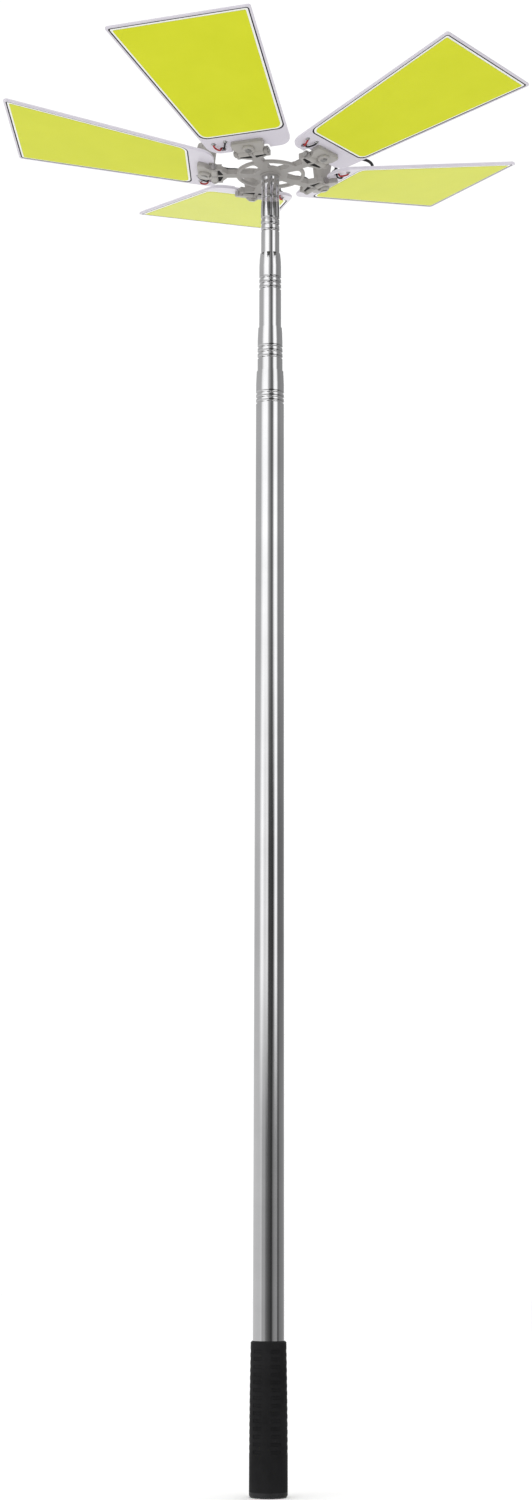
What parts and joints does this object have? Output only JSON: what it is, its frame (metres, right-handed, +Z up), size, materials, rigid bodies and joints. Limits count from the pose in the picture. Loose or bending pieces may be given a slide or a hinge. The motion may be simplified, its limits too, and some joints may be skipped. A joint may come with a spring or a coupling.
{
  "type": "telescopic area light",
  "caption": "Telescopic steel pole with a ribbed grip, carrying a spoked hub with tilting trapezoidal LED panels for lighting a camp site or work area.",
  "frame": {"origin": "centre of the butt's flat bottom face", "axes": "+Z up the pole, with panel_1 towards -Y and panel_2 to panel_5 counter-clockwise from above, 72 degrees apart"},
  "size_m": [0.5396, 0.5134, 1.2739],
  "materials": {
    "pole_steel": "polished stainless steel",
    "grip_rubber": "matte black rubber with fine texture",
    "black_plastic": "satin black moulded plastic",
    "hub_plastic": "satin warm grey moulded plastic",
    "frame_plastic": "satin pale grey moulded plastic",
    "seal_rubber": "matte",
    "pad_rubber": "matte",
    "white_board": "white solder mask",
    "phosphor_silicone": "satin yellow silicone layer with phosphor",
    "sink_aluminium": "brushed aluminium",
    "fastener_steel": "zinc-plated",
    "cable_black": "satin black sheath; the bare tails are one red and one black core"
  },
  "bodies": {
    "pole": {"pole_tube_1": "pole_steel", "grip": "grip_rubber", "butt_cap": "black_plastic"},
    "section_2": {"pole_tube_2": "pole_steel"},
    "section_3": {"pole_tube_3": "pole_steel"},
    "section_4": {"pole_tube_4": "pole_steel"},
    "head": {"head_ferrule": "pole_steel", "hub_spider": "hub_plastic", "hinge_pads": "pad_rubber", "hinge_pins": "fastener_steel", "hub_cover": "hub_plastic", "cover_screw": "fastener_steel"},
    "panel_1": {"panel_frame_1": "frame_plastic", "panel_seal_1": "seal_rubber", "cob_board_1": "white_board", "phosphor_1": "phosphor_silicone", "heat_sink_1": "sink_aluminium", "clamp_plate_1": "hub_plastic", "clamp_bolt_1": "fastener_steel", "thumb_nut_1": "hub_plastic", "panel_wiring_1": "cable_black"},
    "panel_2": {"panel_frame_2": "frame_plastic", "panel_seal_2": "seal_rubber", "cob_board_2": "white_board", "phosphor_2": "phosphor_silicone", "heat_sink_2": "sink_aluminium", "clamp_plate_2": "hub_plastic", "clamp_bolt_2": "fastener_steel", "thumb_nut_2": "hub_plastic", "panel_wiring_2": "cable_black"},
    "panel_3": {"panel_frame_3": "frame_plastic", "panel_seal_3": "seal_rubber", "cob_board_3": "white_board", "phosphor_3": "phosphor_silicone", "heat_sink_3": "sink_aluminium", "clamp_plate_3": "hub_plastic", "clamp_bolt_3": "fastener_steel", "thumb_nut_3": "hub_plastic", "panel_wiring_3": "cable_black"},
    "panel_4": {"panel_frame_4": "frame_plastic", "panel_seal_4": "seal_rubber", "cob_board_4": "white_board", "phosphor_4": "phosphor_silicone", "heat_sink_4": "sink_aluminium", "clamp_plate_4": "hub_plastic", "clamp_bolt_4": "fastener_steel", "thumb_nut_4": "hub_plastic", "panel_wiring_4": "cable_black"},
    "panel_5": {"panel_frame_5": "frame_plastic", "panel_seal_5": "seal_rubber", "cob_board_5": "white_board", "phosphor_5": "phosphor_silicone", "heat_sink_5": "sink_aluminium", "clamp_plate_5": "hub_plastic", "clamp_bolt_5": "fastener_steel", "thumb_nut_5": "hub_plastic", "panel_wiring_5": "cable_black"}
  },
  "joints": [
    {"name": "section_2_slide", "type": "slide", "parent": "pole", "child": "section_2", "axis": [0, 0, 1], "range_m": [0, 0.84]},
    {"name": "section_3_slide", "type": "slide", "parent": "section_2", "child": "section_3", "axis": [0, 0, 1], "range_m": [0, 0.84]},
    {"name": "section_4_slide", "type": "slide", "parent": "section_3", "child": "section_4", "axis": [0, 0, 1], "range_m": [0, 0.84]},
    {"name": "head_turn", "type": "hinge", "parent": "section_4", "child": "head", "pos_m": [0, 0, 1.2], "axis": [0, 0, 1], "range_deg": [-180, 180]},
    {"name": "panel_1_tilt", "type": "hinge", "parent": "head", "child": "panel_1", "pos_m": [0, -0.056, 1.22145], "axis": [1, 0, 0], "range_deg": [-32, 87], "deforming": ["panel_wiring_1"]},
    {"name": "panel_2_tilt", "type": "hinge", "parent": "head", "child": "panel_2", "pos_m": [0.05326, -0.01731, 1.22145], "axis": [0.309, 0.9511, 0], "range_deg": [-32, 87], "deforming": ["panel_wiring_2"]},
    {"name": "panel_3_tilt", "type": "hinge", "parent": "head", "child": "panel_3", "pos_m": [0.03292, 0.0453, 1.22145], "axis": [-0.809, 0.5878, 0], "range_deg": [-32, 87], "deforming": ["panel_wiring_3"]},
    {"name": "panel_4_tilt", "type": "hinge", "parent": "head", "child": "panel_4", "pos_m": [-0.03292, 0.0453, 1.22145], "axis": [-0.809, -0.5878, 0], "range_deg": [-32, 87], "deforming": ["panel_wiring_4"]},
    {"name": "panel_5_tilt", "type": "hinge", "parent": "head", "child": "panel_5", "pos_m": [-0.05326, -0.01731, 1.22145], "axis": [0.309, -0.9511, 0], "range_deg": [-32, 87], "deforming": ["panel_wiring_5"]}
  ]
}
